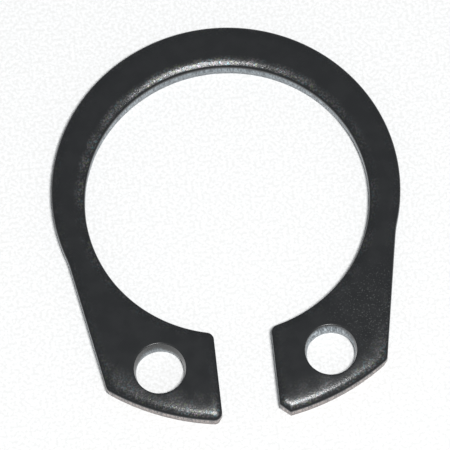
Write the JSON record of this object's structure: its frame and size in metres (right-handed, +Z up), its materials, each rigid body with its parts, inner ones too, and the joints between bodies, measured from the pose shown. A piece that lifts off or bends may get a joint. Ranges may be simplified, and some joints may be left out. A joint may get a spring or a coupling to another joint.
{
  "type": "external retaining ring",
  "caption": "Flat spring steel ring, open between lugs with plier holes, that snaps into a shaft groove and keeps a bearing, wheel or pin in place.",
  "frame": {"origin": "centre of the inner circle, on the bottom face", "axes": "+Z up through the ring, out of the face with the rolled edges; +Y away from the gap, so the lugs and the gap between them face -Y; +X to the right of the gap seen from above"},
  "size_m": [0.0134, 0.016, 0.001],
  "materials": {
    "spring_steel": "dark phosphated spring steel, lightly oiled, worn brighter along the rolled edges"
  },
  "bodies": {
    "root": {"retaining_ring": "spring_steel"}
  },
  "joints": []
}
